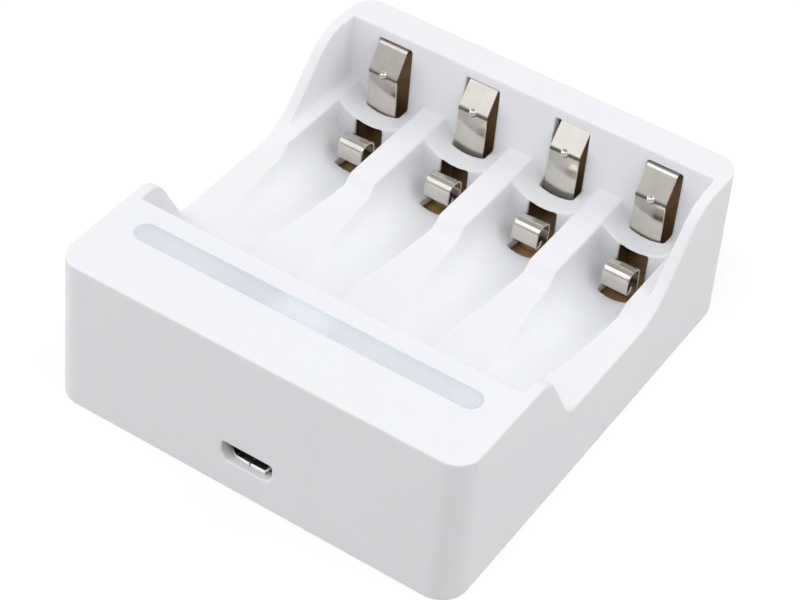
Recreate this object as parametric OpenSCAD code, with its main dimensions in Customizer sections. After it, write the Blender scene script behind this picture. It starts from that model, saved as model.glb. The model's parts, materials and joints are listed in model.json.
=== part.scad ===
// Desk charger for four round rechargeable cells of two sizes.
// A moulded shell with four stepped bays sits over a flat base cover. Sprung nickel strips stand at both
// ends of each bay, a pale light bar runs along the front block and the power socket opens in the front face.
// Millimetres. The origin is the middle of the underside. +X runs along the front face to the right,
// +Y runs from the front face to the rear wall, and +Z is up.

/* [Bays] */
// Distance between the middles of neighbouring bays
bay_pitch = 17; // [16.5:0.25:19]
// Length of the well, from its front wall to its rear wall
well_len = 57.2; // [56:0.2:62]
// Height of the floor of a large cell's trough
trough_floor = 14.1; // [13.6:0.1:14.6]
// Height of the ribs between the bays
rib_top = 16.9; // [16.2:0.1:18]
// Distance from the step under the shelf to where the ribs drop
rib_run = 14.3; // [13.6:0.1:15]
// Length of the shelf under a large cell's rear end
shelf_len = 6.6; // [6.2:0.1:7.2]
// Distance from the step under the shelf to the front of a small strip's slot
slot_len = 5.8; // [5.6:0.1:6]
// Radius of a small cell's trough
small_trough_r = 6.1; // [5.6:0.1:6.4]
// Height of the small trough's floor where its slot begins
small_floor = 8.2; // [7.8:0.1:8.6]
// Slope of the small trough, in degrees, low at the rear
small_tilt = 11.6; // [10:0.2:13]

/* [Body] */
// Thickness of a side wall at the base
side_wall = 2.5; // [2.3:0.1:3.5]
// Depth of the front block at the base
front_block = 18.96; // [18:0.1:24]
// Depth of the rear wall at the base
rear_wall = 6.84; // [6.6:0.1:9]
// Height of the front block
front_top = 27.65; // [27:0.1:29]
// Height of the rear wall
rear_top = 29.1; // [28.8:0.1:32]
// Height of the low stretch of the side walls
low_edge = 15.1; // [14.8:0.1:16]
// Length of the low stretch, foot to foot of the two slopes
low_len = 26.6; // [24:0.2:28]
// Distance from the well's front wall to the foot of the front slope
ear_len = 11.8; // [11:0.2:13]
// Angle of the front slope of a side wall
front_slope = 60; // [56:1:66]
// Angle of the rear slope of a side wall
rear_slope = 50; // [48:1:56]
// Radius of the body's upright corners at the base
corner_r = 4.7; // [4:0.1:6]
// Mould draft of the outer faces, in degrees
draft = 1.2; // [0.8:0.1:1.4]
// Thickness of the moulded skin
skin = 1.8; // [1.5:0.1:2]

/* [Contacts] */
// Width of a large cell's strip
large_strip_w = 5.5; // [5:0.1:6]
// Width of a small cell's strip
small_strip_w = 4.8; // [4:0.1:5.2]
// Thickness of the strips
strip_t = 0.4; // [0.3:0.05:0.5]
// Distance of a large cell's strip from the rear wall, at its ridge
strip_stand = 2.76; // [2.4:0.02:3]
// How far that strip's foot stands behind its ridge
strip_rake = 1.18; // [0.8:0.02:1.4]
// Distance of a negative strip from the front wall
negative_stand = 3.2; // [2.8:0.1:3.6]
// Height of the ridge of an upright strip
ridge_z = 22.3; // [21.6:0.1:23]
// Distance from the rear wall's top down to the openings that the large strips hook into
hook_below = 2.03; // [1.9:0.01:2.5]
// Distance from the front block's top down to the openings that the negative strips hook into
negative_below = 3.58; // [3.4:0.01:3.8]
// Length of the arch of a small cell's strip
arch_len = 3.8; // [3.4:0.1:4]
// Height of a small cell's strip
small_strip_top = 13.7; // [13.2:0.1:13.7]
// Radius of the pressed nub on a large cell's strip
nub_r = 0.75; // [0.6:0.05:1]
// Room beside a large cell's strip in its slot
large_gap = 0.5; // [0.45:0.05:0.7]
// Room beside a small cell's strip in its slot
small_gap = 0.25; // [0.2:0.05:0.4]

/* [Light and power] */
// Length of the light bar
bar_len = 60.8; // [50:0.2:62]
// Width of the light bar
bar_w = 3.86; // [3:0.1:5]
// Distance from the well's front wall to the middle of the light bar
bar_set = 5.66; // [5.2:0.1:7]
// Width of the socket's metal shell
socket_w = 7.5; // [7:0.1:8]
// Height of the socket's metal shell
socket_h = 2.8; // [2.5:0.1:3]
// Room beside the socket in the front face
socket_gap = 0.85; // [0.4:0.05:1]
// Room above and below the socket in the front face
socket_gap_z = 0.4; // [0.2:0.05:0.5]
// Height of the circuit board's upper face
board_top = 5.8; // [5.4:0.1:5.9]
// Thickness of the circuit board
board_t = 1.2; // [1:0.1:1.6]

/* [Base] */
// Thickness of the base cover
cover_t = 2; // [1.6:0.1:2.4]
// Radius of a cover screw
screw_r = 1.25; // [1:0.05:1.4]
// Length of a cover screw under its head
screw_len = 10; // [8:0.5:11]

/* [Hidden] */
bay_count = 4;
// How far each strip has set back in use, in degrees, left to right
large_lean = [0, 3.2, 4.8, 0];
small_lean = [0, 4.5, 4, 0];
// How far each large strip sits to the right of its slot's middle
large_shift = [-0.3, -0.2, 0.05, -0.3];
// Clearance between pieces that are fitted together, and the overlap that joins solids
fit = 0.1;
joint = 0.2;
// How far a cut runs past the face it opens in, and a length past the whole body
through = 1;
far = 60;
bend_steps = 8;
round_fn = 64;

// Places along Y
body_d = front_block + well_len + rear_wall;
front_y = -body_d / 2;
well_front = front_y + front_block;
well_rear = well_front + well_len;
step_y = well_rear - shelf_len;
bar_y = well_front - bar_set;
front_foot = well_front + ear_len;
rear_foot = front_foot + low_len;

// Places across X and up Z
well_w = bay_count * bay_pitch;
body_w = well_w + 2 * side_wall;
block_top = max(front_top, rear_top);
large_r = bay_pitch / 2;
large_axis = trough_floor + large_r;
small_axis = small_floor + small_trough_r;
small_skin_cut = 0.4;
small_skin = skin - small_skin_cut;
// Thickness of the shelf over a small strip's slot, at its front edge and at its root
lip_edge = 0.2;
lip_root = 2.2;
// Where a small trough's round floor turns into upright walls, in degrees above its middle
wall_turn = 6;

// The ribs' drop from their full height to the height of the walls' low stretch
rib_slope = 43;
rib_foot_r = 1;
rib_head = step_y - rib_run;
rib_foot = rib_head - (rib_top - low_edge) / tan(rib_slope);
// Where the half ribs beside the side walls begin, which follow those walls
half_rib_x = well_w / 2 - (large_r - small_trough_r);

// Rounds of the side walls: front lip, front foot, rear foot, rear lip
front_lip_r = 4.5;
front_foot_r = 4.2;
rear_foot_r = 11.6;
rear_lip_r = 8.3;

// Hollow inside the shell, upright so that the cover and boards slide in from below
side_room = 0.2;
hollow_w = well_w + 2 * side_room;
hollow_d = body_d - 2 * (skin + block_top * tan(draft));
hollow_r = 2.5;

// Upright strips
large_ridge_y = well_rear - strip_stand;
large_foot_y = large_ridge_y + strip_rake;
negative_y = well_front + negative_stand;
hook_top = rear_top - hook_below;
negative_drop = 1.7;
negative_ridge = ridge_z - negative_drop;
negative_hook = front_top - negative_below;
strip_bend_r = 0.7;
hook_bend_r = 0.6;
hook_set = 0.25;
hook_depth = 0.7;
hook_drop = 1.4;
nub_sink = 0.35 * nub_r;
foot_z = board_top + fit;

// Small strips: an arch with a long rear leg on the board and a short front leg with a rolled end
slot_front = step_y - slot_len;
small_lead = 0.35;
small_front_y = slot_front + small_lead;
small_rear_y = small_front_y + arch_len;
small_leg = 4;
small_fall = 0.6;
small_rear_r = 1.7;
small_front_r = 1.4;
curl_len = 1.5;
curl_dip = 0.2;
curl_rise = 0.9;
small_slot_w = small_strip_w + 2 * small_gap;
// The step's edge round a small slot, and how far the slot widens behind it
slot_edge = 0.6;
slot_relief = 1;
large_slot_w = large_strip_w + 2 * large_gap;
// Front edge of a large slot, just ahead of the raked strip where it leaves the shelf
slot_lead = 0.2;
large_slot_front = large_foot_y
    - strip_rake * (trough_floor - foot_z) / (ridge_z - foot_z) - strip_t / 2 - slot_lead;

// Boards, bosses and screws
board_room = 0.3;
board_w = hollow_w - 2 * board_room;
board_d = hollow_d - 2 * board_room;
board_r = hollow_r - board_room;
rear_board_inset = 2;
rear_board_w = board_w - 2 * rear_board_inset;
rear_board_t = 0.8;
rear_board_top = hook_top - joint;
boss_r = 2.8;
boss_set = 7;
boss_behind = 4;
front_boss = [hollow_w / 2 - boss_r, front_y + boss_set];
rear_boss = [bay_pitch, step_y + boss_behind];
screw_spots = [
    front_boss,
    [-front_boss.x, front_boss.y],
    rear_boss,
    [-rear_boss.x, rear_boss.y]
];
head_r = 2.3;
head_h = 1.6;
head_z = cover_t + joint - head_h;
post_r = 3.4;
recess_len = 2.6;
recess_w = 0.6;
recess_depth = 0.8;

// Light bar and the lamps under it
bar_round = 0.49;
bar_flange = 1;
bar_flange_t = 1.4;
bar_leg_r = 1.8;
led_body = [3.2, 2.8, 1.4];
led_h = 1.9;
led_lens_r = 1.1;
led_gap = 0.3;

// Power socket
socket_inset = 1.35;
socket_mouth = front_y + socket_inset;
socket_len = 5.4;
socket_back = 0.8;
socket_corner = [0.9, 1.5];
socket_r = 0.5;
sheet_t = 0.3;
seam = 0.3;
socket_lip_len = 1.1;
socket_lip_fall = 0.2;
tongue = [3.7, 3.8, 0.65];
tongue_drop = 1.25;

// Parts on the board
parts_set = 7.5;
parts_y = front_y + parts_set;
chip = [5, 4, 1.4];
chip_lift = 0.2;
lead = [0.4, 1.2, 0.7];
lead_pitch = 1.27;
lead_rows = 4;
coil_r = 3;
coil_core_r = 2.2;
coil_h = 3;
coil_rim = 0.6;
capacitor = [1.6, 3.2, 1.4];
capacitor_x = [-9, -6.5, 6.5, 9];
resistor = [3.2, 1.6, 0.6];

// Middle of a bay, counted from 0 at the left
function bay_x(i) = (i - (bay_count - 1) / 2) * bay_pitch;

function unit(v) = v / norm(v);

// Points of the round at corner q, on the way from p to s
function bend(p, q, s, r) =
    let (
        u = unit(p - q),
        v = unit(s - q),
        half = acos(u * v) / 2,
        centre = q + unit(u + v) * r / sin(half),
        from = q + u * r / tan(half) - centre,
        to = q + v * r / tan(half) - centre,
        start = atan2(from.y, from.x),
        turn = (atan2(to.y, to.x) - start + 540) % 360 - 180
    )
    [for (k = [0:bend_steps])
        centre + r * [cos(start + turn * k / bend_steps), sin(start + turn * k / bend_steps)]];

// A closed outline with every corner rounded
function rounded(points, r) =
    let (n = len(points))
    [for (i = [0:n - 1]) each bend(points[(i + n - 1) % n], points[i], points[(i + 1) % n], r)];

// An open path with its inner corners rounded
function bent(points, r) = concat(
    [points[0]],
    [for (i = [1:len(points) - 2]) each bend(points[i - 1], points[i], points[i + 1], r[i - 1])],
    [points[len(points) - 1]]
);

// The point beside path point i, at distance d to its left
function beside(path, i, d) =
    let (t = unit(path[min(i + 1, len(path) - 1)] - path[max(i - 1, 0)]))
    path[i] + d * [-t.y, t.x];

function rectangle(w, d) = [[-w / 2, -d / 2], [w / 2, -d / 2], [w / 2, d / 2], [-w / 2, d / 2]];

// Extrusions of a Y-Z outline along X, and of an X-Z outline along Y
module along_x(x0, x1) translate([x0, 0, 0]) rotate([90, 0, 90]) linear_extrude(x1 - x0) children();
module along_y(y0, y1) translate([0, y1, 0]) rotate([90, 0, 0]) linear_extrude(y1 - y0) children();

module rounded_plate(w, d, r, h) linear_extrude(h) polygon(rounded(rectangle(w, d), r));

module each_bay() for (i = [0:bay_count - 1]) translate([bay_x(i), 0, 0]) children();

// Sheet metal of thickness strip_t along a Y-Z path, centred on X
module sheet(path, w) along_x(-w / 2, w / 2) polygon(concat(
    [for (i = [0:len(path) - 1]) beside(path, i, strip_t / 2)],
    [for (i = [len(path) - 1:-1:0]) beside(path, i, -strip_t / 2)]
));

// Turns what is below it about a line along X at y, z
module swung(y, z, angle) translate([0, y, z]) rotate([angle, 0, 0]) translate([0, -y, -z]) children();

// Upper shell

// Outer block with drafted faces and upright round corners
module outer_block() {
    h = block_top + skin;
    shrink = h * tan(draft);
    hull()
        for (x = [-1, 1], y = [-1, 1])
            translate([x * (body_w / 2 - corner_r), y * (body_d / 2 - corner_r), 0])
                cylinder(h = h, r1 = corner_r, r2 = corner_r - shrink, $fn = round_fn);
}

// All that lies above the side walls' edge, grown by g into the walls
function side_cut(g) =
    let (
        front_shift = g * tan(front_slope / 2),
        rear_shift = g * tan(rear_slope / 2),
        foot_a = [front_foot - front_shift, low_edge - g],
        foot_b = [rear_foot + rear_shift, low_edge - g],
        lip_a = [front_foot - (front_top - low_edge) / tan(front_slope) - front_shift, front_top - g],
        lip_b = [rear_foot + (rear_top - low_edge) / tan(rear_slope) + rear_shift, rear_top - g],
        start = [front_y - far, front_top - g],
        end = [-front_y + far, rear_top - g]
    )
    concat(
        [start],
        bend(start, lip_a, foot_a, front_lip_r - g),
        bend(lip_a, foot_a, foot_b, front_foot_r + g),
        bend(foot_a, foot_b, lip_b, rear_foot_r + g),
        bend(foot_b, lip_b, end, rear_lip_r - g),
        [end, [end.x, block_top + far], [start.x, block_top + far]]
    );

// All that lies above the block's and the rear wall's tops
module crown() {
    translate([-body_w, -far, front_top]) cube([2 * body_w, far, far]);
    translate([-body_w, 0, rear_top]) cube([2 * body_w, far, far]);
}

// The well above the ribs seen from the side, grown by g
function rib_line(g) =
    let (
        shift = g * tan(rib_slope / 2),
        start = [well_front - g, low_edge - g],
        foot = [rib_foot + shift, low_edge - g],
        head = [rib_head + shift, rib_top - g],
        end = [well_rear + g, rib_top - g]
    )
    concat(
        [start],
        bend(start, foot, head, rib_foot_r + g),
        [head, end, [end.x, far], [start.x, far]]
    );

// Section of the large troughs below the ribs' tops, grown by g
module trough_section(g) intersection() {
    translate([-well_w / 2 - g, 0]) square([well_w + 2 * g, rib_top - g + joint]);
    for (i = [0:bay_count - 1])
        translate([bay_x(i), large_axis]) circle(large_r + g, $fn = round_fn);
}

module well(g) {
    along_x(-well_w / 2 - g, well_w / 2 + g) polygon(rib_line(g));
    along_y(well_front - g, well_rear + g) trough_section(g);
}

// A small cell's trough: a round floor with upright walls, sloping down to the step under the shelf
module small_trough(g) {
    r = small_trough_r + g;
    wall_at = r * cos(wall_turn);
    intersection() {
        translate([0, slot_front, small_axis]) rotate([-small_tilt, 0, 0]) along_y(-far, far) {
            circle(r, $fn = round_fn);
            translate([-wall_at, 0]) square([2 * wall_at, far]);
        }
        translate([-r - joint, well_front - g, foot_z]) cube([2 * (r + joint), step_y - well_front + 2 * g, far]);
    }
}

// Slot under a small strip, through the floor and the step, up to a lip of the shelf that thins to its edge
module small_slot() difference() {
    union() {
        translate([-small_slot_w / 2, slot_front, board_top])
            cube([small_slot_w, step_y + skin - slot_front, large_axis - board_top]);
        translate([-small_slot_w / 2 - slot_relief, step_y + slot_edge, board_top])
            cube([small_slot_w + 2 * slot_relief, skin, large_axis - board_top]);
    }
    translate([0, step_y, large_axis]) rotate([-90, 0, 0])
        cylinder(h = shelf_len, r1 = large_r + lip_edge, r2 = large_r + lip_root, $fn = round_fn);
}

// Opening for an upright strip, through the trough's floor and into its end wall
module upright_slot(y0, y1, top) translate([-large_slot_w / 2, y0, trough_floor - 2 * skin])
    cube([large_slot_w, y1 - y0, top - trough_floor + 2 * skin]);

// Outline of the socket's opening and shell: wide above, with cut lower corners
function socket_outline(gx, gz) =
    let (
        w = socket_w / 2 + gx,
        low = -gz,
        high = socket_h + gz,
        foot = w - socket_corner.x,
        side = low + socket_corner.y
    )
    [[-foot, low], [foot, low], [w, side], [w, high], [-w, high], [-w, side]];

module socket_at(y0, y1) translate([0, 0, board_top + fit]) along_y(y0, y1) children();

module shell_hollow() difference() {
    translate([0, 0, -through]) rounded_plate(hollow_w, hollow_d, hollow_r, block_top - skin + through);
    along_x(-body_w, body_w) polygon(side_cut(skin));
    well(skin);
    each_bay() small_trough(small_skin);
}

module screw_boss(spot) translate([spot.x, spot.y, board_top + fit]) difference() {
    cylinder(h = (spot.y < 0 ? front_top : rib_top) - skin - board_top, r = boss_r, $fn = round_fn);
    translate([0, 0, -through])
        cylinder(h = screw_len - head_h + through, r = screw_r + fit / 2, $fn = round_fn);
}

module upper_shell() color([0.94, 0.94, 0.95]) {
    difference() {
        outer_block();
        crown();
        along_x(-body_w, -half_rib_x) polygon(side_cut(0));
        along_x(half_rib_x, body_w) polygon(side_cut(0));
        well(0);
        each_bay() {
            small_trough(0);
            small_slot();
            upright_slot(large_slot_front, well_rear + skin + joint, hook_top);
            upright_slot(well_front - skin - joint, negative_y + strip_t / 2 + large_gap, negative_hook);
        }
        shell_hollow();
        translate([0, bar_y, front_top - 2 * skin])
            rounded_plate(bar_len, bar_w, bar_w * bar_round, 3 * skin);
        socket_at(front_y - through, front_y + 2 * skin)
            polygon(rounded(socket_outline(socket_gap, socket_gap_z), socket_r + joint));
    }
    for (spot = screw_spots) screw_boss(spot);
}

// Base cover, set inside the shell's lower rim, with a post under the board at each screw
module base_cover() color([0.92, 0.92, 0.93]) difference() {
    union() {
        rounded_plate(hollow_w - 2 * fit, hollow_d - 2 * fit, hollow_r - fit, cover_t);
        for (spot = screw_spots) translate([spot.x, spot.y, 0]) intersection() {
            cylinder(h = board_top - board_t - fit, r = post_r, $fn = round_fn);
            translate([-spot.x, -spot.y, 0])
                rounded_plate(hollow_w - 2 * fit, hollow_d - 2 * fit, hollow_r - fit, board_top);
        }
    }
    for (spot = screw_spots) translate([spot.x, spot.y, 0]) {
        translate([0, 0, -through])
            cylinder(h = board_top + through, r = screw_r + 2 * fit, $fn = round_fn);
        translate([0, 0, -through])
            cylinder(h = head_z + head_h + through, r = head_r + 3 * fit, $fn = round_fn);
    }
}

// Light bar: a diffuser flush with the top, a flange under the skin and a light leg over each lamp
module light_bar() color([0.87, 0.88, 0.9]) translate([0, bar_y, 0]) {
    w = bar_w - 2 * fit;
    flange_top = front_top - skin - fit;
    leg_z = board_top + led_h + led_gap;
    translate([0, 0, flange_top - joint])
        rounded_plate(bar_len - 2 * fit, w, w * bar_round, front_top - flange_top + joint);
    translate([0, 0, flange_top - bar_flange_t])
        rounded_plate(bar_len + 2 * bar_flange, bar_w + 2 * bar_flange, bar_w / 2, bar_flange_t);
    each_bay() translate([0, 0, leg_z])
        cylinder(h = flange_top - leg_z - joint, r = bar_leg_r, $fn = round_fn);
}

// Main board and the upright board behind the rear openings
module circuit_board() color([0.30, 0.19, 0.08]) difference() {
    translate([0, 0, board_top - board_t]) rounded_plate(board_w, board_d, board_r, board_t);
    for (spot = screw_spots) translate([spot.x, spot.y, 0])
        cylinder(h = board_top + through, r = screw_r + 2 * fit, $fn = round_fn);
}

module rear_board() color([0.26, 0.16, 0.07])
    translate([-rear_board_w / 2, hollow_d / 2 - fit - rear_board_t, board_top + fit / 2])
        cube([rear_board_w, rear_board_t, rear_board_top - board_top]);

// Upright strip seen from the side: up from the board, a ridge, then back and hooked into the wall
function upright_path(foot, y, wall, ridge, top) =
    let (away = sign(wall - y))
    bent([
        [foot, foot_z],
        [y, ridge],
        [wall + away * hook_set, top - strip_t / 2 - fit],
        [wall + away * (hook_set + hook_depth), top - strip_t - hook_drop]
    ], [strip_bend_r, hook_bend_r]);

module aa_contact(i) color([0.72, 0.70, 0.66]) translate([bay_x(i) + large_shift[i], 0, 0])
    swung(large_foot_y, foot_z, -large_lean[i]) {
        sheet(upright_path(large_foot_y, large_ridge_y, well_rear, ridge_z, hook_top), large_strip_w);
        translate([0, large_ridge_y - strip_t / 2 + nub_sink, ridge_z]) sphere(nub_r, $fn = round_fn);
    }

module negative_contact(i) color([0.72, 0.70, 0.66]) translate([bay_x(i), 0, 0])
    sheet(upright_path(negative_y, negative_y, well_front, negative_ridge, negative_hook), large_strip_w);

// Small strip seen from the side: up from the board, forward over the arch, down and rolled in
small_path = bent([
    [small_rear_y, foot_z],
    [small_rear_y, small_strip_top - small_fall],
    [small_front_y, small_strip_top],
    [small_front_y, small_strip_top - small_leg],
    [small_front_y + curl_len, small_strip_top - small_leg - curl_dip],
    [small_front_y + curl_len, small_strip_top - small_leg + curl_rise]
], [small_rear_r, small_front_r, hook_bend_r, hook_bend_r]);

module aaa_contact(i) color([0.72, 0.70, 0.66]) translate([bay_x(i), 0, 0])
    swung(small_rear_y, foot_z, -small_lean[i]) sheet(small_path, small_strip_w);

// Lamp under each light leg: a chip body with a low round lens
module status_led(i) color([0.9, 0.9, 0.85]) translate([bay_x(i), bar_y, board_top]) {
    translate([-led_body.x / 2, -led_body.y / 2, 0]) cube(led_body);
    cylinder(h = led_h, r = led_lens_r, $fn = round_fn);
}

// Half of the flared lip at the foot of the socket's mouth, beside its seam
module socket_lip(x0, x1) along_x(x0, x1) polygon([
    [socket_mouth + joint, foot_z],
    [socket_mouth, foot_z],
    [socket_mouth - socket_lip_len, foot_z - socket_lip_fall],
    [socket_mouth - socket_lip_len, foot_z - socket_lip_fall + sheet_t],
    [socket_mouth, foot_z + sheet_t],
    [socket_mouth + joint, foot_z + sheet_t]
]);

// Power socket: a folded metal shell with a contact tongue inside
socket_back_y = socket_mouth + socket_len - socket_back;
module socket_shell() color([0.78, 0.78, 0.76]) {
    lip_end = socket_w / 2 - socket_corner.x - joint;
    difference() {
        socket_at(socket_mouth, socket_mouth + socket_len) polygon(rounded(socket_outline(0, 0), socket_r));
        socket_at(socket_mouth - through, socket_back_y)
            polygon(rounded(socket_outline(-sheet_t, -sheet_t), socket_r - joint));
        translate([-seam / 2, socket_mouth - through, board_top])
            cube([seam, socket_back_y - socket_mouth + through, sheet_t + 2 * fit]);
    }
    socket_lip(-lip_end, -seam / 2);
    socket_lip(seam / 2, lip_end);
}

module socket_tongue() color([0.08, 0.08, 0.09])
    translate([-tongue.x / 2, socket_back_y - tongue.y, board_top + socket_h - tongue_drop]) cube(tongue);

// Parts on the board, inside the front block
module charge_controller() color([0.1, 0.1, 0.11]) translate([bay_pitch, parts_y, board_top]) {
    translate([-chip.x / 2, -chip.y / 2, chip_lift]) cube(chip);
    for (k = [0:lead_rows - 1], side = [-1, 1])
        translate([
            (k - (lead_rows - 1) / 2) * lead_pitch - lead.x / 2,
            side * (chip.y + lead.x) / 2 - lead.y / 2,
            0
        ]) cube(lead);
}

module power_inductor() color([0.2, 0.2, 0.21]) translate([-bay_pitch, parts_y, board_top]) {
    cylinder(h = coil_h, r = coil_core_r, $fn = round_fn);
    for (z = [0, coil_h - coil_rim]) translate([0, 0, z]) cylinder(h = coil_rim, r = coil_r, $fn = round_fn);
}

module filter_capacitors() color([0.62, 0.5, 0.34])
    for (x = capacitor_x) translate([x - capacitor.x / 2, parts_y, board_top]) cube(capacitor);

module sense_resistors() color([0.12, 0.12, 0.13])
    each_bay() translate([-resistor.x / 2, well_front - 2 * resistor.y, board_top]) cube(resistor);

// Cover screws with round heads and cross recesses
module cover_screws() color([0.6, 0.6, 0.62])
    for (spot = screw_spots) translate([spot.x, spot.y, head_z]) difference() {
        union() {
            cylinder(h = head_h, r = head_r, $fn = round_fn);
            translate([0, 0, head_h - joint]) cylinder(h = screw_len + joint, r = screw_r, $fn = round_fn);
        }
        for (turn = [0, 90]) rotate(turn) translate([-recess_len / 2, -recess_w / 2, -through])
            cube([recess_len, recess_w, recess_depth + through]);
    }

upper_shell();
base_cover();
light_bar();
circuit_board();
rear_board();
for (i = [0:bay_count - 1]) {
    aa_contact(i);
    aaa_contact(i);
    negative_contact(i);
    status_led(i);
}
socket_shell();
socket_tongue();
charge_controller();
power_inductor();
filter_capacitors();
sense_resistors();
cover_screws();
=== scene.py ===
"""Looks of a desk charger for round cells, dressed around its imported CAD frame."""
import json
import math

import bmesh
import bpy
import numpy as np
from bpy.props import FloatProperty, FloatVectorProperty, IntProperty, PointerProperty
from bpy.types import Operator, Panel, PropertyGroup
from mathutils import Matrix, Vector


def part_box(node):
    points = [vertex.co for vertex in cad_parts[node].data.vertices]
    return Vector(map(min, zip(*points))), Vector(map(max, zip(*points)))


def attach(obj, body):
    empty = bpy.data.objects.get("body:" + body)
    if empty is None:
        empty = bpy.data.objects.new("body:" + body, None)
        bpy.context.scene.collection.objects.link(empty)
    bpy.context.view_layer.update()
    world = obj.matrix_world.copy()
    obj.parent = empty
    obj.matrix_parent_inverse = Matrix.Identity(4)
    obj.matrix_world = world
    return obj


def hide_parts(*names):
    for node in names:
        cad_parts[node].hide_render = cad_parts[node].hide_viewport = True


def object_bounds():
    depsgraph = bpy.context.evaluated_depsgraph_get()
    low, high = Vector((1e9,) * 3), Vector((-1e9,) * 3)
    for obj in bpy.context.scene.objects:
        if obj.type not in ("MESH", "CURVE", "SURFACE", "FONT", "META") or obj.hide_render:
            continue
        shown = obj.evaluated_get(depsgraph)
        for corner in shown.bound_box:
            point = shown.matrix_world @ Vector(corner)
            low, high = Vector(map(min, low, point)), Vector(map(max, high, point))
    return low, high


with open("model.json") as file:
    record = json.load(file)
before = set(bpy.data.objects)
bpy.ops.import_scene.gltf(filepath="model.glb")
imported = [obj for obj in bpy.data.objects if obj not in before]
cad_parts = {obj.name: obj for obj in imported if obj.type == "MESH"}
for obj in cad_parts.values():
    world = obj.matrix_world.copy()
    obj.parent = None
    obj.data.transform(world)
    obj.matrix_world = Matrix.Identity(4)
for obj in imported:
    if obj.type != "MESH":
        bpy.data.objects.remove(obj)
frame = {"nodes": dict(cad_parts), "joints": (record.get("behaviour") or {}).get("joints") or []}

bl_info = {
    "name": "Cell Charger Looks",
    "version": (1, 0, 0),
    "blender": (4, 5, 0),
    "location": "View3D > Sidebar > Charger",
    "description": "Dresses a desk charger for round cells: shell, light bar, sprung strips and boards",
    "category": "Object",
}

CAD_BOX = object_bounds()
JOINTS = {joint["name"]: joint for joint in frame["joints"]}
MM = 0.001
BAYS = range(1, 5)

# How far each strip has set back in use, in degrees, left to right
LARGE_LEAN = (0.0, 3.2, 4.8, 0.0)
SMALL_LEAN = (0.0, 4.5, 4.0, 0.0)
NO_LEAN = (0.0, 0.0, 0.0, 0.0)

# Corners of the strips' bent paths in millimetres, as (behind, above) their feet, and the bends' radii
LARGE_CORNERS = ((0.0, 0.0), (-1.18, 16.4), (2.05, 21.45), (2.75, 19.83))
LARGE_BENDS = (0.7, 0.7)
NEGATIVE_CORNERS = ((0.0, 0.0), (0.0, 14.7), (-3.45, 17.87), (-4.15, 16.37))
NEGATIVE_BENDS = (0.7, 0.6)
SMALL_CORNERS = ((0.0, 0.0), (0.0, 7.2), (-3.8, 7.8), (-3.8, 3.8), (-2.3, 3.6), (-2.3, 4.7))
SMALL_BENDS = (1.7, 1.4, 0.6, 0.6)

# Spacing of the points along those paths in millimetres, and faces across a strip with a nub and one without
PATH_STEP = 0.12
NUB_COLUMNS = 56
PLAIN_COLUMNS = 12

# A strip's edges that turn by more than this, in degrees, are cut edges, and the rest are bends
STRIP_ANGLE = 75.0

# Direction across a nub to its lower side, which is darkened with painted shade
NUB_SHADED_SIDE = Vector((0.6, 0.0, -0.8))

# The socket's lower lip in millimetres: its reach in the CAD, its heights, its halves' ends, its lean,
# and how far behind the sleeve's mouth the lip is left clear of the painted shade that darkens the rest of
# the sleeve
LIP_REACH = 1.1
LIP_TOP = 6.25
LIP_MIDDLE = 5.85
LIP_FOOT = 5.54
LIP_END = 2.88
LIP_SEAM = 0.06
LIP_LEAN = 0.22
LIP_UNSHADED = 0.03

# Rounding of the smaller pieces' edges in millimetres
COVER_EDGE = 0.25
SCREW_EDGE = 0.12
LAMP_EDGE = 0.12
BAR_EDGE = 0.04
SLEEVE_EDGE = 0.05
BOARD_EDGE = 0.08

# Boxes round the moulding's openings, lowest and highest corners in millimetres, where its edges stay crisp
CRISP_BAR = ((-31.2, -30.9, 25.4), (31.2, -25.4, 28.4))
CRISP_SOCKET = ((-5.6, -42.0, 4.4), (5.6, -37.6, 10.4))
CRISP_LARGE = ((-4.0, 31.2, 12.4), (4.0, 37.4, 27.9))
CRISP_SMALL = ((-4.0, 21.6, 5.0), (4.0, 30.4, 14.4))
CRISP_NEGATIVE = ((-4.0, -25.0, 12.4), (4.0, -17.8, 24.9))

# Side of the square floor in metres, and its gap under the charger in millimetres
FLOOR_SIDE = 3.0
FLOOR_GAP = 0.02

# Soft boxes round the charger: turn from the front to the right and height above the horizon in degrees,
# width and height in metres, and brightness
SOFT_BOXES = (
    ("front_left", -45.0, 48.0, 0.9, 0.58, 0.76),
    ("left_low", -80.0, 15.0, 0.8, 0.4, 1.96),
    ("front", 0.0, 58.0, 0.6, 0.4, 1.64),
    ("right", 90.0, 45.0, 0.7, 0.5, 1.04),
    ("back_right", 140.0, 45.0, 0.8, 0.6, 1.38),
    ("low_card", -23.0, 24.5, 0.35, 0.08, 0.2),
)


class ShellSizes(PropertyGroup):
    """Sizes and colours of the moulded pieces."""
    voxel: FloatProperty(
        name="Voxel", description="Grid of the remesh that rounds the shell's edges",
        default=0.0002, unit="LENGTH", precision=5)
    soft_steps: IntProperty(
        name="Softening", description="Smoothing passes over the shell's edges", default=4)
    crisp_steps: IntProperty(
        name="Crisp softening", description="Smoothing passes round the openings", default=1)
    triangles: IntProperty(
        name="Triangles", description="Most triangles left in the shell", default=160000)
    bar_growth: FloatProperty(
        name="Bar growth", description="How far the light bar's top grows to close the gap round it",
        default=0.00013, unit="LENGTH", precision=5)
    plastic: FloatVectorProperty(
        name="Plastic", description="Colour of the white moulding", subtype="COLOR",
        default=(0.905, 0.911, 0.938))
    diffuser: FloatVectorProperty(
        name="Diffuser", description="Colour of the light bar", subtype="COLOR",
        default=(0.765, 0.77, 0.815))
    pale_half: FloatProperty(
        name="Pale half", description="Half the length of the light bar's paler middle",
        default=0.0043, unit="LENGTH")


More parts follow.
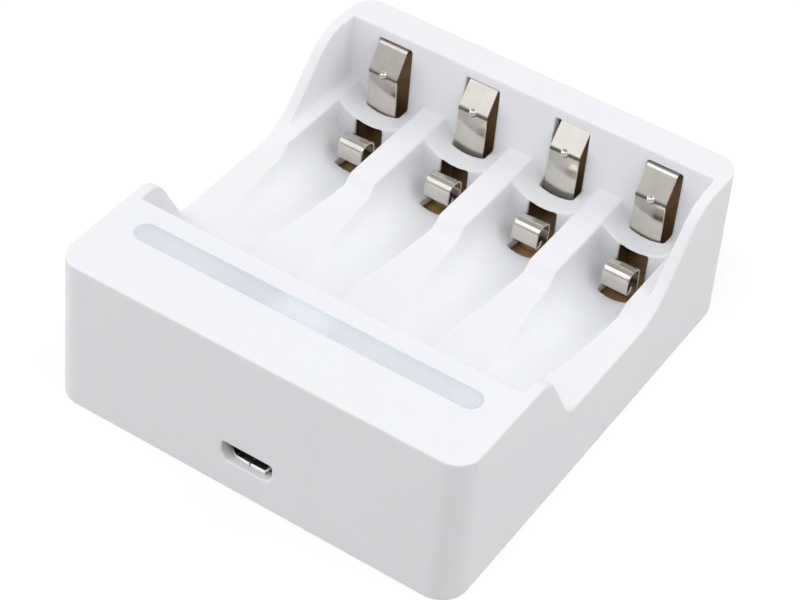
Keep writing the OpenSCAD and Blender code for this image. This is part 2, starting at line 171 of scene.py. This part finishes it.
class StripSizes(PropertyGroup):
    """Sizes and colours of the sprung strips and other metal."""
    thickness: FloatProperty(
        name="Thickness", description="Thickness of the strips", default=0.0004, unit="LENGTH", precision=5)
    large_width: FloatProperty(
        name="Large width", description="Width of a large cell's strip", default=0.0055, unit="LENGTH")
    small_width: FloatProperty(
        name="Small width", description="Width of a small cell's strip", default=0.0048, unit="LENGTH")
    edge: FloatProperty(
        name="Edge", description="Rounding of the strips' cut edges",
        default=0.00006, unit="LENGTH", precision=5)
    nub_radius: FloatProperty(
        name="Nub radius", description="Radius of the pressed nub",
        default=0.00074, unit="LENGTH", precision=5)
    nub_rise: FloatProperty(
        name="Nub rise", description="How far the pressed nub stands out",
        default=0.00058, unit="LENGTH", precision=5)
    # The ridge's dark line is partly wear where cells rub and partly a painted dark reflection
    rub: FloatProperty(
        name="Rub line", description="Half the width of the dull line that cells rub along the ridge",
        default=0.0004, unit="LENGTH", precision=5)
    nickel: FloatVectorProperty(
        name="Nickel", description="Colour of the plated strips", subtype="COLOR",
        default=(0.70, 0.665, 0.61))
    tin: FloatVectorProperty(
        name="Tin", description="Colour of the socket's shell", subtype="COLOR",
        default=(0.90, 0.90, 0.89))
    zinc: FloatVectorProperty(
        name="Zinc", description="Colour of the cover's screws", subtype="COLOR",
        default=(0.55, 0.55, 0.56))


class BoardColours(PropertyGroup):
    """Colours of the boards and of the parts on them."""
    laminate: FloatVectorProperty(
        name="Laminate", description="Colour of the brown boards", subtype="COLOR",
        default=(0.42, 0.26, 0.115))
    chip: FloatVectorProperty(
        name="Chip", description="Colour of the black mouldings", subtype="COLOR",
        default=(0.018, 0.018, 0.02))
    ceramic: FloatVectorProperty(
        name="Ceramic", description="Colour of the capacitors", subtype="COLOR",
        default=(0.36, 0.26, 0.15))
    lens: FloatVectorProperty(
        name="Lens", description="Colour of the lamps", subtype="COLOR", default=(0.75, 0.74, 0.62))


class StageSettings(PropertyGroup):
    """Camera, floor and light."""
    aim: FloatVectorProperty(
        name="Aim", description="Point the camera looks at", subtype="TRANSLATION",
        default=(0.015858, -0.028455, 0.039464), precision=6)
    distance: FloatProperty(
        name="Distance", description="From the camera to its aim",
        default=0.338167, unit="LENGTH", precision=6)
    azimuth: FloatProperty(
        name="Azimuth", description="Turn of the camera round the charger", subtype="ANGLE",
        default=math.radians(29.556))
    elevation: FloatProperty(
        name="Elevation", description="Height of the camera above the horizon", subtype="ANGLE",
        default=math.radians(42.652))
    roll: FloatProperty(
        name="Roll", description="Tilt of the camera about its own axis", subtype="ANGLE",
        default=math.radians(5.679))
    lens: FloatProperty(name="Lens", description="Focal length in millimetres", default=109.6)
    floor: FloatVectorProperty(
        name="Floor", description="Colour of the floor", subtype="COLOR", default=(0.93, 0.93, 0.93))
    floor_glow: FloatProperty(
        name="Floor glow", description="Light that the floor gives off", default=0.2)
    light_distance: FloatProperty(
        name="Light distance", description="From the charger's middle to the soft boxes",
        default=0.85, unit="LENGTH")
    brightness: FloatProperty(name="Brightness", description="Strength of all the soft boxes", default=0.94)
    sky: FloatProperty(name="Sky", description="Strength of the light from all round", default=0.49)


def alone(piece):
    """Leaves one piece selected and active."""
    bpy.ops.object.select_all(action="DESELECT")
    bpy.context.view_layer.objects.active = piece
    piece.select_set(True)


def edit(piece):
    """Opens a piece in edit mode with all of it selected."""
    alone(piece)
    bpy.ops.object.mode_set(mode="EDIT")
    bpy.ops.mesh.select_all(action="SELECT")


def leave_edit():
    bpy.ops.object.mode_set(mode="OBJECT")


def finish_with(piece, kind, **settings):
    """Adds a modifier, sets it and applies it to the piece's mesh."""
    alone(piece)
    modifier = piece.modifiers.new(kind.title(), kind)
    for name, value in settings.items():
        setattr(modifier, name, value)
    bpy.ops.object.modifier_apply(modifier=modifier.name)


def joined_copy(node, name):
    """A copy of a CAD node as a piece of its own, with its loose triangles joined."""
    piece = bpy.data.objects.new(name, frame["nodes"][node].data.copy())
    bpy.context.scene.collection.objects.link(piece)
    edit(piece)
    bpy.ops.mesh.remove_doubles(threshold=2e-6)
    bpy.ops.mesh.dissolve_limited(angle_limit=math.radians(0.3))
    leave_edit()
    return piece


def round_edges(piece, width, segments=2, angle=40.0):
    finish_with(piece, "BEVEL", width=width, segments=segments, limit_method="ANGLE",
                angle_limit=math.radians(angle), use_clamp_overlap=True)
    bpy.ops.object.shade_smooth_by_angle(angle=math.radians(angle))


def dress(piece, finish):
    """Gives a piece its one finish."""
    piece.data.materials.clear()
    piece.data.materials.append(finish)


def set_in_case(piece, finish, node):
    """Dresses a piece of the case and puts it in a CAD node's place."""
    dress(piece, finish)
    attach(piece, "case")
    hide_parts(node)


def new_finish(name, **sockets):
    """A material with its shader's plain sockets set. Returns the material, its tree and the shader."""
    material = bpy.data.materials.new(name)
    material.use_nodes = True
    shader = material.node_tree.nodes["Principled BSDF"]
    for socket, value in sockets.items():
        shader.inputs[socket.replace("_", " ")].default_value = value
    return material, material.node_tree, shader


def add_node(tree, kind, **inputs):
    node = tree.nodes.new(kind)
    for socket, value in inputs.items():
        node.inputs[socket.replace("_", " ")].default_value = value
    return node


def grain(tree, scale, stretch=(1.0, 1.0, 1.0), detail=3.0, roughness=0.5):
    """Noise over a piece's own coordinates, scale in lumps per metre."""
    place = add_node(tree, "ShaderNodeTexCoord")
    mapping = add_node(tree, "ShaderNodeMapping", Scale=stretch)
    noise = add_node(tree, "ShaderNodeTexNoise", Scale=scale, Detail=detail, Roughness=roughness)
    tree.links.new(place.outputs["Object"], mapping.inputs["Vector"])
    tree.links.new(mapping.outputs["Vector"], noise.inputs["Vector"])
    return noise.outputs["Fac"]


def spread(tree, factor, low, high, start=0.3, end=0.7):
    """Spreads a factor over a range of values."""
    spreader = add_node(tree, "ShaderNodeMapRange", From_Min=start, From_Max=end, To_Min=low, To_Max=high)
    tree.links.new(factor, spreader.inputs["Value"])
    return spreader.outputs["Result"]


def tint(tree, factor, dark, light, start=0.3, end=0.7):
    """Spreads a factor over two colours."""
    ramp = add_node(tree, "ShaderNodeValToRGB")
    for stop, place, colour in zip(ramp.color_ramp.elements, (start, end), (dark, light)):
        stop.position = place
        stop.color = (*colour, 1.0)
    tree.links.new(factor, ramp.inputs["Fac"])
    return ramp.outputs["Color"]


def relief(tree, shader, factor, depth, strength):
    """Raises the surface by a factor, depth in metres."""
    bump = add_node(tree, "ShaderNodeBump", Strength=strength, Distance=depth)
    tree.links.new(factor, bump.inputs["Height"])
    tree.links.new(bump.outputs["Normal"], shader.inputs["Normal"])


def shade(colour, factor):
    return tuple(min(1.0, channel * factor) for channel in colour)


def satin_plastic(name, colour):
    """White moulding with a fine spark-eroded grain and a faint cloudiness."""
    material, tree, shader = new_finish(name, IOR=1.5, Subsurface_Weight=0.12, Subsurface_Scale=0.002)
    cloud = grain(tree, 90.0)
    tree.links.new(tint(tree, cloud, shade(colour, 0.985), shade(colour, 1.0)), shader.inputs["Base Color"])
    fine = grain(tree, 5200.0, detail=2.0)
    tree.links.new(spread(tree, fine, 0.42, 0.54), shader.inputs["Roughness"])
    relief(tree, shader, fine, 0.00002, 0.12)
    return material


def milky_plastic(name, colour, pale_half):
    """Diffuser whose colour is paler over the middle and darker along either side of it."""
    material, tree, shader = new_finish(name, IOR=1.49, Subsurface_Weight=0.35, Subsurface_Scale=0.003)
    cloud = grain(tree, 110.0, stretch=(1.0, 0.15, 0.15), detail=1.0)
    place = add_node(tree, "ShaderNodeTexCoord")
    across = add_node(tree, "ShaderNodeSeparateXYZ")
    away = add_node(tree, "ShaderNodeMath")
    away.operation = "ABSOLUTE"
    middle = add_node(tree, "ShaderNodeMixRGB", Color2=(*shade(colour, 1.1), 1.0))
    tree.links.new(place.outputs["Object"], across.inputs["Vector"])
    tree.links.new(across.outputs["X"], away.inputs[0])
    fade = spread(tree, away.outputs[0], 1.0, 0.0, 0.6 * pale_half, 1.4 * pale_half)
    tree.links.new(fade, middle.inputs["Fac"])
    tree.links.new(tint(tree, cloud, shade(colour, 0.95), shade(colour, 1.03)), middle.inputs["Color1"])
    tree.links.new(middle.outputs["Color"], shader.inputs["Base Color"])
    fine = grain(tree, 4000.0, detail=2.0)
    tree.links.new(spread(tree, fine, 0.32, 0.40), shader.inputs["Roughness"])
    relief(tree, shader, fine, 0.00001, 0.08)
    return material


def plated_metal(name, colour, smooth, rough, along=(1.0, 1.0, 0.06)):
    """Bright plating with fine rolling marks, a faint uneven tarnish, and a dark colour mixed in where an
    attribute marks painted shade, painted dark reflection and rubbed wear.
    """
    material, tree, shader = new_finish(name, Metallic=1.0)
    cloud = grain(tree, 420.0, detail=3.0)
    tarnish = tint(tree, cloud, shade(colour, 0.93), shade(colour, 1.03))
    # Painted shade: where the attribute marks it, the plating's colour turns dark, standing in for shadow,
    # dark reflection and rubbed wear
    rub_and_shade_mark = add_node(tree, "ShaderNodeAttribute")
    rub_and_shade_mark.attribute_name = "rub_and_painted_shade"
    painted_shade_mix = add_node(tree, "ShaderNodeMixRGB", Color2=(*shade(colour, 0.15), 1.0))
    tree.links.new(rub_and_shade_mark.outputs["Fac"], painted_shade_mix.inputs["Fac"])
    tree.links.new(tarnish, painted_shade_mix.inputs["Color1"])
    tree.links.new(painted_shade_mix.outputs["Color"], shader.inputs["Base Color"])
    rolled = grain(tree, 9000.0, stretch=along, detail=2.0)
    tree.links.new(spread(tree, rolled, smooth, rough), shader.inputs["Roughness"])
    relief(tree, shader, rolled, 0.000004, 0.15)
    return material


def laminate_board(name, colour):
    """Brown laminate: fibres across each other under a lacquer, with a blotchy tone."""
    material, tree, shader = new_finish(name, IOR=1.5)
    fibres = grain(tree, 2600.0, stretch=(1.0, 0.12, 1.0), detail=2.0)
    cloud = grain(tree, 160.0)
    tree.links.new(tint(tree, cloud, shade(colour, 0.75), shade(colour, 1.35)), shader.inputs["Base Color"])
    tree.links.new(spread(tree, fibres, 0.35, 0.5), shader.inputs["Roughness"])
    relief(tree, shader, fibres, 0.00003, 0.25)
    return material


def small_part(name, colour, scale, smooth, rough, **sockets):
    """Finish of a board part: one tone with a grain of its own size."""
    material, tree, shader = new_finish(name, **sockets)
    fine = grain(tree, scale)
    tree.links.new(tint(tree, fine, shade(colour, 0.85), shade(colour, 1.12)), shader.inputs["Base Color"])
    tree.links.new(spread(tree, fine, smooth, rough), shader.inputs["Roughness"])
    relief(tree, shader, fine, 0.00002, 0.15)
    return material


def bent_path(corners, bends, step):
    """Points along a path of straight runs and round bends, about a step apart, in millimetres."""
    points = [Vector(corners[0])]

    def run_to(target):
        start = points[-1].copy()
        count = max(1, round((target - start).length / step))
        points.extend(start.lerp(target, k / count) for k in range(1, count + 1))

    for before, corner, after, radius in zip(corners, corners[1:], corners[2:], bends):
        corner = Vector(corner)
        back = (Vector(before) - corner).normalized()
        ahead = (Vector(after) - corner).normalized()
        half = back.angle(ahead) / 2
        centre = corner + (back + ahead).normalized() * radius / math.sin(half)
        first = corner + back * radius / math.tan(half) - centre
        last = corner + ahead * radius / math.tan(half) - centre
        run_to(centre + first)
        turn = math.atan2(first.x * last.y - first.y * last.x, first.dot(last))
        count = max(6, round(abs(turn) * radius / step))
        for k in range(1, count + 1):
            points.append(centre + Matrix.Rotation(turn * k / count, 2) @ first)
    run_to(Vector(corners[-1]))
    return points


def draw_sheet(name, path, width, columns):
    """A strip of sheet drawn out of one edge along a path of (Y, Z) points, in metres."""
    bpy.ops.object.select_all(action="DESELECT")
    bpy.ops.mesh.primitive_grid_add(x_subdivisions=columns, y_subdivisions=1, size=width)
    sheet = bpy.context.object
    sheet.name = sheet.data.name = name
    edit(sheet)
    mesh = bmesh.from_edit_mesh(sheet.data)
    for vertex in mesh.verts:
        last = vertex.co.y > 0
        vertex.co.y, vertex.co.z = path[1] if last else path[0]
        vertex.select = last
    mesh.select_mode = {"VERT"}
    mesh.select_flush_mode()
    bmesh.update_edit_mesh(sheet.data)
    bpy.ops.mesh.select_mode(type="EDGE")
    for here, there in zip(path[1:], path[2:]):
        move = there - here
        bpy.ops.mesh.extrude_edges_move(TRANSFORM_OT_translate={"value": (0.0, move.x, move.y)})
    leave_edit()
    return sheet


def press_nub(strip, spot, ball, rise):
    """Presses a round nub out of a strip's front face at a spot."""
    middle = spot + Vector((0.0, ball - rise, 0.0))
    edit(strip)
    bpy.ops.mesh.select_mode(type="FACE")
    bpy.ops.mesh.select_all(action="DESELECT")
    mesh = bmesh.from_edit_mesh(strip.data)
    for face in mesh.faces:
        near = (face.calc_center_median() - spot).length < 1.6 * ball
        face.select_set(near and face.normal.y < 0.0)
    bmesh.update_edit_mesh(strip.data)
    bpy.ops.mesh.subdivide(number_cuts=2)
    mesh = bmesh.from_edit_mesh(strip.data)
    for vertex in mesh.verts:
        reach = math.hypot(vertex.co.x - middle.x, vertex.co.z - middle.z)
        if vertex.select and reach < ball:
            vertex.co.y = min(vertex.co.y, middle.y - math.sqrt(ball * ball - reach * reach))
    bmesh.update_edit_mesh(strip.data)
    leave_edit()


def paint_rub_and_shade(piece, rub_and_shade_at):
    """Marks a piece's vertices with how much painted shade, painted dark reflection and rubbed wear darken
    them, from a function of the place.
    """
    marks = piece.data.attributes.new("rub_and_painted_shade", "FLOAT", "POINT")
    for vertex, mark in zip(piece.data.vertices, marks.data):
        mark.value = max(0.0, min(1.0, rub_and_shade_at(vertex.co)))


def rub_ridge_and_shade_nub(strip, spot, half_width, ball):
    """Darkens the line along a strip's ridge, partly as wear where cells rub and partly as a painted dark
    reflection, and paints shade on the lower side of its nub.
    """
    def rub_and_shade_at(place):
        off = place - spot
        if off.y > half_width:
            return 0.0
        # The nub's lower side is darkened: painted shade
        if math.hypot(off.x, off.z) < ball:
            return 2.0 * off.dot(NUB_SHADED_SIDE) / ball - 0.6
        # The ridge line is darkened: partly rubbed wear, partly a painted dark reflection
        return 1.0 - (off.z / half_width) ** 2

    paint_rub_and_shade(strip, rub_and_shade_at)


def sprung_strip(name, corners, bends, width, columns, sizes, nub=False):
    """One strip with its foot at the origin, upright, before its lean."""
    path = [point * MM for point in bent_path(corners, bends, PATH_STEP)]
    strip = draw_sheet(name, path, width, columns)
    finish_with(strip, "SOLIDIFY", thickness=sizes.thickness, offset=0.0, use_even_offset=True)
    edit(strip)
    bpy.ops.mesh.normals_make_consistent(inside=False)
    leave_edit()
    round_edges(strip, sizes.edge, segments=2, angle=STRIP_ANGLE)
    if nub:
        ridge = min(path, key=lambda point: point.x)
        spot = Vector((0.0, ridge.x - sizes.thickness / 2, ridge.y))
        press_nub(strip, spot, sizes.nub_radius, sizes.nub_rise)
        # Darkens the ridge with rubbed wear and a painted dark reflection, and paints shade on the nub's
        # lower side
        rub_ridge_and_shade_nub(strip, spot, sizes.rub, sizes.nub_radius)
    alone(strip)
    bpy.ops.object.shade_smooth_by_angle(angle=math.radians(STRIP_ANGLE))
    return strip


def stand_strips(kind, master, lean, finish):
    """Copies a strip into each bay, leans it about its foot and rides it on its own body."""
    for bay in BAYS:
        strip = master.copy()
        strip.data = master.data.copy()
        strip.name = strip.data.name = f"{kind}_strip_{bay}"
        bpy.context.scene.collection.objects.link(strip)
        joint = JOINTS[f"{kind}_press_{bay}"]
        tilt = Matrix.Rotation(-math.radians(lean[bay - 1]), 4, "X")
        strip.data.transform(Matrix.Translation(joint["pos_m"]) @ tilt)
        dress(strip, finish)
        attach(strip, joint["child"])
        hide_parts(f"{kind}_contact_{bay}")
    bpy.data.objects.remove(master)


def direction(turn, rise):
    """Unit vector from the charger, turned from its front to its right and raised above the horizon."""
    return Vector((math.sin(turn) * math.cos(rise), -math.cos(turn) * math.cos(rise), math.sin(rise)))


def crisp_boxes():
    """Boxes round all the moulding's openings, as corners in metres."""
    boxes = [CRISP_BAR, CRISP_SOCKET]
    for bay in BAYS:
        middle = Vector((JOINTS[f"negative_press_{bay}"]["pos_m"][0], 0.0, 0.0))
        for low, high in (CRISP_LARGE, CRISP_SMALL, CRISP_NEGATIVE):
            boxes.append((Vector(low) + middle / MM, Vector(high) + middle / MM))
    return [(Vector(low) * MM, Vector(high) * MM) for low, high in boxes]


def mark_soft(piece, name):
    """Groups the vertices that lie outside the boxes round the openings."""
    places = np.empty(3 * len(piece.data.vertices), dtype=np.float32)
    piece.data.vertices.foreach_get("co", places)
    places = places.reshape(-1, 3)
    crisp = np.zeros(len(places), dtype=bool)
    for low, high in crisp_boxes():
        crisp |= np.all((places > np.array(low)) & (places < np.array(high)), axis=1)
    group = piece.vertex_groups.new(name=name)
    group.add(np.flatnonzero(~crisp).tolist(), 1.0, "REPLACE")


class CHARGER_OT_shell(Operator):
    """Moulds the shell with softly rounded edges"""
    bl_idname = "charger.shell"
    bl_label = "Shell"

    def execute(self, context):
        sizes = context.scene.charger_shell
        shell = joined_copy("upper_shell", "case_shell")
        voxel = sizes.voxel * 1.0
        finish_with(shell, "REMESH", mode="VOXEL", voxel_size=voxel, use_smooth_shade=True)
        finish_with(shell, "SMOOTH", factor=0.5, iterations=sizes.crisp_steps)
        mark_soft(shell, "soft")
        more_steps = sizes.soft_steps - sizes.crisp_steps
        finish_with(shell, "SMOOTH", factor=0.5, iterations=more_steps, vertex_group="soft")
        ratio = min(1.0, sizes.triangles / (2 * len(shell.data.polygons)))
        finish_with(shell, "DECIMATE", ratio=ratio)
        bpy.ops.object.shade_smooth()
        set_in_case(shell, satin_plastic("White moulding", sizes.plastic), "upper_shell")
        return {"FINISHED"}


class CHARGER_OT_base(Operator):
    """Finishes the base cover and its screws"""
    bl_idname = "charger.base"
    bl_label = "Base cover"

    def execute(self, context):
        sizes = context.scene.charger_shell
        cover = joined_copy("base_cover", "bottom_cover")
        round_edges(cover, COVER_EDGE * MM)
        plastic = satin_plastic("Cover moulding", shade(sizes.plastic, 0.97))
        set_in_case(cover, plastic, "base_cover")
        screws = joined_copy("cover_screws", "base_screws")
        round_edges(screws, SCREW_EDGE * MM)
        zinc = plated_metal("Zinc plating", context.scene.charger_strips.zinc, 0.22, 0.34, (1.0, 1.0, 1.0))
        set_in_case(screws, zinc, "cover_screws")
        return {"FINISHED"}


class CHARGER_OT_light_bar(Operator):
    """Finishes the milky light bar and the lamps under it"""
    bl_idname = "charger.light_bar"
    bl_label = "Light bar"

    def execute(self, context):
        sizes = context.scene.charger_shell
        bar = joined_copy("light_bar", "diffuser_bar")
        self.close_gap(bar, sizes.bar_growth)
        round_edges(bar, BAR_EDGE * MM)
        milky = milky_plastic("Milky diffuser", sizes.diffuser, sizes.pale_half)
        set_in_case(bar, milky, "light_bar")
        lens = small_part("Lamp resin", context.scene.charger_board.lens, 900.0, 0.12, 0.2, IOR=1.52)
        for bay in BAYS:
            lamp = joined_copy(f"status_led_{bay}", f"lamp_{bay}")
            round_edges(lamp, LAMP_EDGE * MM)
            set_in_case(lamp, lens, f"status_led_{bay}")
        return {"FINISHED"}

    def close_gap(self, bar, growth):
        """Grows the bar's upper plate until it meets the moulding all round."""
        low, high = (Vector(corner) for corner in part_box("light_bar"))
        edit(bar)
        bpy.ops.mesh.select_mode(type="VERT")
        mesh = bmesh.from_edit_mesh(bar.data)
        plate = [vertex for vertex in mesh.verts if vertex.co.z > high.z - MM]
        for vertex in mesh.verts:
            vertex.select = vertex in plate
        mesh.select_flush_mode()
        length = max(vertex.co.x for vertex in plate) - min(vertex.co.x for vertex in plate)
        width = max(vertex.co.y for vertex in plate) - min(vertex.co.y for vertex in plate)
        bmesh.update_edit_mesh(bar.data)
        larger = (1.0 + 2 * growth / length, 1.0 + 2 * growth / width, 1.0)
        bpy.ops.transform.resize(value=larger, center_override=(low + high) / 2)
        leave_edit()


class CHARGER_OT_strips(Operator):
    """Bends the sprung strips, presses their nubs and stands them in the bays"""
    bl_idname = "charger.strips"
    bl_label = "Sprung strips"

    def execute(self, context):
        sizes = context.scene.charger_strips
        nickel = plated_metal("Nickel plating", sizes.nickel, 0.09, 0.15)
        large = sprung_strip(
            "large_master", LARGE_CORNERS, LARGE_BENDS, sizes.large_width, NUB_COLUMNS, sizes, nub=True)
        stand_strips("aa", large, LARGE_LEAN, nickel)
        small = sprung_strip(
            "small_master", SMALL_CORNERS, SMALL_BENDS, sizes.small_width, PLAIN_COLUMNS, sizes)
        stand_strips("aaa", small, SMALL_LEAN, nickel)
        negative = sprung_strip(
            "negative_master", NEGATIVE_CORNERS, NEGATIVE_BENDS, sizes.large_width, PLAIN_COLUMNS, sizes)
        stand_strips("negative", negative, NO_LEAN, nickel)
        return {"FINISHED"}


class CHARGER_OT_socket(Operator):
    """Finishes the power socket"""
    bl_idname = "charger.socket"
    bl_label = "Power socket"

    def execute(self, context):
        sizes = context.scene.charger_strips
        shell = joined_copy("socket_shell", "socket_sleeve")
        mouth = self.turn_lip(shell)
        round_edges(shell, SLEEVE_EDGE * MM)
        # Painted shade: the sleeve is darkened all over behind its mouth and above the lip, as if in the
        # socket's shadow, and only the lip's front keeps its bright plating
        paint_rub_and_shade(shell, lambda place: float(place.y > mouth + LIP_UNSHADED * MM or place.z > LIP_TOP * MM))
        tin = plated_metal("Tin plating", sizes.tin, 0.16, 0.26, (0.1, 1.0, 1.0))
        set_in_case(shell, tin, "socket_shell")
        tongue = joined_copy("socket_tongue", "contact_tongue")
        round_edges(tongue, BOARD_EDGE * MM)
        black = small_part("Black moulding", context.scene.charger_board.chip, 2500.0, 0.4, 0.55)
        set_in_case(tongue, black, "socket_tongue")
        return {"FINISHED"}

    def turn_lip(self, shell):
        """Turns the sleeve's lower lip down to face the front. Returns where the sleeve's mouth lies."""
        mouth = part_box("socket_shell")[0][1] + LIP_REACH * MM
        edit(shell)
        mesh = bmesh.from_edit_mesh(shell.data)
        tips = [vertex for vertex in mesh.verts if vertex.co.y < mouth - LIP_REACH * MM / 2]
        if not tips:
            raise RuntimeError("the socket's lower lip was not found")
        for vertex in tips:
            front = vertex.co.z > LIP_MIDDLE * MM
            side = math.copysign(LIP_END if abs(vertex.co.x) > MM else LIP_SEAM, vertex.co.x)
            vertex.co.x = side * MM
            vertex.co.y = mouth - (LIP_LEAN if front else LIP_LEAN / 4) * MM
            vertex.co.z = LIP_FOOT * MM
        bmesh.update_edit_mesh(shell.data)
        leave_edit()
        return mouth


class CHARGER_OT_boards(Operator):
    """Finishes the boards and the parts on them"""
    bl_idname = "charger.boards"
    bl_label = "Boards"

    def execute(self, context):
        colours = context.scene.charger_board
        laminate = laminate_board("Brown laminate", colours.laminate)
        black = small_part("Chip moulding", colours.chip, 2500.0, 0.4, 0.55)
        ferrite = small_part("Ferrite", shade(colours.chip, 2.2), 3500.0, 0.5, 0.7)
        ceramic = small_part("Fired ceramic", colours.ceramic, 1800.0, 0.35, 0.5)
        plain = (
            ("circuit_board", "main_board", laminate, "board"),
            ("rear_board", "upright_board", laminate, "board"),
            ("charge_controller", "controller_chip", black, "black_plastic"),
            ("sense_resistors", "resistor_row", black, "black_plastic"),
            ("power_inductor", "coil_drum", ferrite, "ferrite"),
            ("filter_capacitors", "capacitor_group", ceramic, "ceramic_chip"),
        )
        for node, name, finish, slot in plain:
            piece = joined_copy(node, name)
            round_edges(piece, BOARD_EDGE * MM)
            set_in_case(piece, finish, node)
        return {"FINISHED"}


class CHARGER_OT_stage(Operator):
    """Sets the camera, the pale floor and the soft light"""
    bl_idname = "charger.stage"
    bl_label = "Stage"

    def execute(self, context):
        stage = context.scene.charger_stage
        self.set_camera(context, stage)
        self.lay_floor(stage)
        self.hang_lights(context, stage)
        context.scene.view_settings.view_transform = "Standard"
        return {"FINISHED"}

    def set_camera(self, context, stage):
        back = direction(stage.azimuth, stage.elevation)
        turn = back.to_track_quat("Z", "Y").to_matrix() @ Matrix.Rotation(stage.roll, 3, "Z")
        camera = bpy.data.objects.new("camera", bpy.data.cameras.new("camera"))
        context.scene.collection.objects.link(camera)
        camera.matrix_world = Matrix.Translation(Vector(stage.aim) + back * stage.distance) @ turn.to_4x4()
        camera.data.sensor_width = 36.0
        camera.data.lens = stage.lens
        camera.data.clip_start = 0.01
        context.scene.camera = camera

    def lay_floor(self, stage):
        bpy.ops.object.select_all(action="DESELECT")
        bpy.ops.mesh.primitive_plane_add(size=FLOOR_SIDE, location=(0.0, 0.0, -FLOOR_GAP * MM))
        floor = bpy.context.object
        floor.name = "floor"
        material, tree, shader = new_finish("Pale floor", Roughness=0.9, Emission_Strength=stage.floor_glow)
        shader.inputs["Emission Color"].default_value = (*stage.floor, 1.0)
        soft = tint(tree, grain(tree, 6.0), shade(stage.floor, 0.995), stage.floor)
        tree.links.new(soft, shader.inputs["Base Color"])
        self.clear_from_below(tree, shader)
        floor.data.materials.append(material)
        # The floor shows, but throws no light back at the charger's sides
        floor.visible_diffuse = False

    def clear_from_below(self, tree, shader):
        """Makes the floor's lower face clear, so that the charger's underside shows through it."""
        sides = add_node(tree, "ShaderNodeNewGeometry")
        clear = add_node(tree, "ShaderNodeBsdfTransparent")
        both = add_node(tree, "ShaderNodeMixShader")
        tree.links.new(sides.outputs["Backfacing"], both.inputs["Fac"])
        tree.links.new(shader.outputs["BSDF"], both.inputs[1])
        tree.links.new(clear.outputs["BSDF"], both.inputs[2])
        tree.links.new(both.outputs["Shader"], tree.nodes["Material Output"].inputs["Surface"])

    def hang_lights(self, context, stage):
        world = bpy.data.worlds.new("studio")
        context.scene.world = world
        world.use_nodes = True
        background = world.node_tree.nodes["Background"]
        background.inputs["Color"].default_value = (1.0, 1.0, 1.0, 1.0)
        background.inputs["Strength"].default_value = stage.sky
        middle = (Vector(CAD_BOX[0]) + Vector(CAD_BOX[1])) / 2
        for name, turn, rise, width, height, brightness in SOFT_BOXES:
            toward = direction(math.radians(turn), math.radians(rise))
            lamp = bpy.data.lights.new(name, "AREA")
            lamp.shape = "RECTANGLE"
            lamp.size = width
            lamp.size_y = height
            lamp.energy = math.pi * width * height * brightness * stage.brightness
            light = bpy.data.objects.new(name, lamp)
            context.scene.collection.objects.link(light)
            light.location = middle + toward * stage.light_distance
            light.rotation_euler = toward.to_track_quat("Z", "Y").to_euler()


OPERATORS = (
    CHARGER_OT_shell,
    CHARGER_OT_base,
    CHARGER_OT_light_bar,
    CHARGER_OT_strips,
    CHARGER_OT_socket,
    CHARGER_OT_boards,
    CHARGER_OT_stage,
)


class CHARGER_PT_looks(Panel):
    """Lists the charger's pieces and their settings"""
    bl_label = "Charger"
    bl_idname = "CHARGER_PT_looks"
    bl_space_type = "VIEW_3D"
    bl_region_type = "UI"
    bl_category = "Charger"

    def draw(self, context):
        for operator in OPERATORS:
            self.layout.operator(operator.bl_idname)
        for holder in GROUPS:
            box = self.layout.box()
            settings = getattr(context.scene, holder)
            for name in settings.__annotations__:
                box.prop(settings, name)


GROUPS = {
    "charger_shell": ShellSizes,
    "charger_strips": StripSizes,
    "charger_board": BoardColours,
    "charger_stage": StageSettings,
}


def register():
    for group in (*GROUPS.values(), *OPERATORS, CHARGER_PT_looks):
        bpy.utils.register_class(group)
    for holder, group in GROUPS.items():
        setattr(bpy.types.Scene, holder, PointerProperty(type=group))


def unregister():
    for holder in GROUPS:
        delattr(bpy.types.Scene, holder)
    for group in reversed((*GROUPS.values(), *OPERATORS, CHARGER_PT_looks)):
        bpy.utils.unregister_class(group)


def main():
    register()
    bpy.ops.charger.shell()
    bpy.ops.charger.base()
    bpy.ops.charger.light_bar()
    bpy.ops.charger.strips()
    bpy.ops.charger.socket()
    bpy.ops.charger.boards()
    bpy.ops.charger.stage()


if __name__ == "__main__":
    main()
